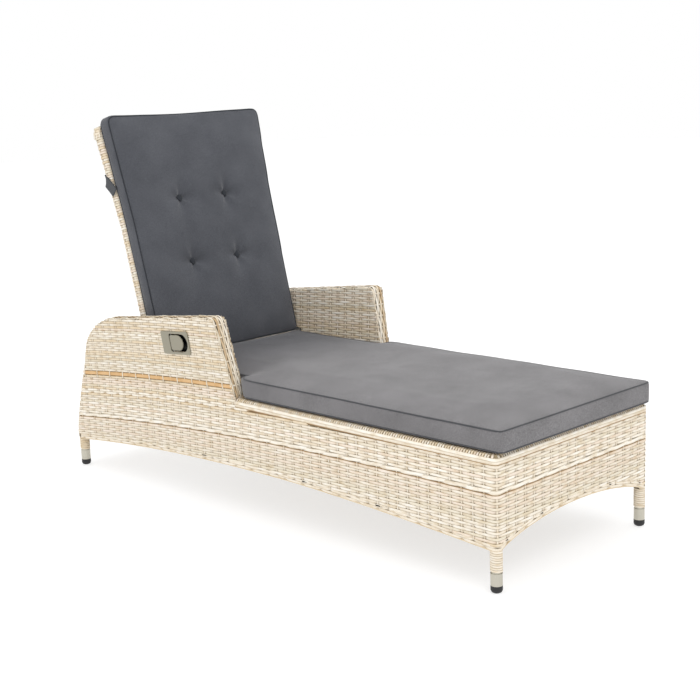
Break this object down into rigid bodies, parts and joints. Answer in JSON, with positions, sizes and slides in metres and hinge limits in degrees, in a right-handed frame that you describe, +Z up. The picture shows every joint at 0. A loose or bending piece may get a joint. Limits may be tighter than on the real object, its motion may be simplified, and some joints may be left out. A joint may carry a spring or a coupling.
{
  "type": "reclining sun lounger",
  "caption": "Woven garden sun lounger with arms, a reclining back that a gas spring holds, a release lever in one arm, and loose tufted cushions.",
  "frame": {"origin": "middle of the footprint at ground level", "axes": "+Y towards the head end, +Z up, X across the width with the lever side at -X"},
  "size_m": [0.7512, 1.914, 1.2229],
  "materials": {
    "wicker": "woven cream resin strands, mottled with tan and white",
    "aluminium_frame": "satin brushed tube",
    "hinge_steel": "zinc-plated, brushed",
    "foot_rubber": "matt black moulded rubber",
    "dark_plastic": "black moulded plastic",
    "lever_plastic": "satin grey-beige moulded plastic",
    "spring_paint": "black satin paint",
    "back_fabric": "dark blue-grey woven canvas",
    "seat_fabric": "mid-grey woven canvas",
    "strap_webbing": "dark grey woven tape"
  },
  "bodies": {
    "base": {"leg_post_foot_left": "aluminium_frame", "leg_post_foot_right": "aluminium_frame", "leg_post_head_left": "aluminium_frame", "leg_post_head_right": "aluminium_frame", "leg_wrap_foot_left": "wicker", "leg_wrap_foot_right": "wicker", "leg_wrap_head_left": "wicker", "leg_wrap_head_right": "wicker", "leg_foot_foot_left": "foot_rubber", "leg_foot_foot_right": "foot_rubber", "leg_foot_head_left": "foot_rubber", "leg_foot_head_right": "foot_rubber", "side_rail_left": "aluminium_frame", "side_rail_right": "aluminium_frame", "rail_foot": "aluminium_frame", "rail_head": "aluminium_frame", "seat_tube_front": "aluminium_frame", "seat_tube_middle": "aluminium_frame", "seat_tube_rear": "aluminium_frame", "spring_tube": "aluminium_frame", "arm_hoop_left": "aluminium_frame", "arm_hoop_right": "aluminium_frame", "skirt_side_left": "wicker", "skirt_side_right": "wicker", "skirt_foot": "wicker", "skirt_head": "wicker", "rim_side_left": "wicker", "rim_side_right": "wicker", "rim_foot": "wicker", "seat_deck": "wicker", "arm_wicker_left": "wicker", "arm_wicker_right": "wicker", "pivot_bracket_left": "hinge_steel", "pivot_bracket_right": "hinge_steel", "spring_bracket": "hinge_steel", "pivot_bush_left": "dark_plastic", "pivot_bush_right": "dark_plastic", "lever_cup": "dark_plastic", "release_cable": "dark_plastic", "lever_plate": "lever_plastic", "lever_pin": "hinge_steel", "seat_cushion": "seat_fabric"},
    "back": {"back_tube_left": "aluminium_frame", "back_tube_right": "aluminium_frame", "back_tube_top": "aluminium_frame", "back_tube_bottom": "aluminium_frame", "hinge_plate_left": "hinge_steel", "hinge_plate_right": "hinge_steel", "back_wicker": "wicker", "back_cushion": "back_fabric", "cushion_strap": "strap_webbing", "tuft_button_lower_left": "back_fabric", "tuft_button_lower_right": "back_fabric", "tuft_button_upper_left": "back_fabric", "tuft_button_upper_right": "back_fabric"},
    "gas_rod": {"release_head": "hinge_steel", "spring_rod": "hinge_steel"},
    "gas_barrel": {"spring_barrel": "spring_paint"},
    "release_trigger": {"release_lever": "hinge_steel"},
    "flap": {"lever_flap": "lever_plastic"}
  },
  "joints": [
    {"name": "recline", "type": "hinge", "parent": "base", "child": "back", "pos_m": [0, 0.486, 0.434], "axis": [-1, 0, 0], "range_deg": [0, 76]},
    {"name": "spring_swing", "type": "hinge", "parent": "base", "child": "gas_rod", "pos_m": [0, 0.319, 0.206], "axis": [1, 0, 0], "range_deg": [0, 1]},
    {"name": "spring_slide", "type": "slide", "parent": "gas_rod", "child": "gas_barrel", "axis": [0, 0.7194, 0.6946], "range_m": [-0.0745, 0]},
    {"name": "flap_pull", "type": "hinge", "parent": "base", "child": "flap", "pos_m": [-0.36233, 0.34893, 0.51645], "axis": [0.0992, -0.0785, -0.992], "range_deg": [0, 35], "stiffness_Nm_per_rad": 0.5},
    {"name": "trigger_turn", "type": "hinge", "parent": "gas_rod", "child": "release_trigger", "pos_m": [0, 0.32193, 0.23176], "axis": [1, 0, 0], "range_deg": [0, 20.1]}
  ],
  "couplings": [
    {"joint": "spring_swing", "follows": "recline", "ratio": 0.0037636},
    {"joint": "spring_slide", "follows": "recline", "m_per_rad": -0.05588},
    {"joint": "trigger_turn", "follows": "flap_pull", "ratio": 0.57143}
  ]
}
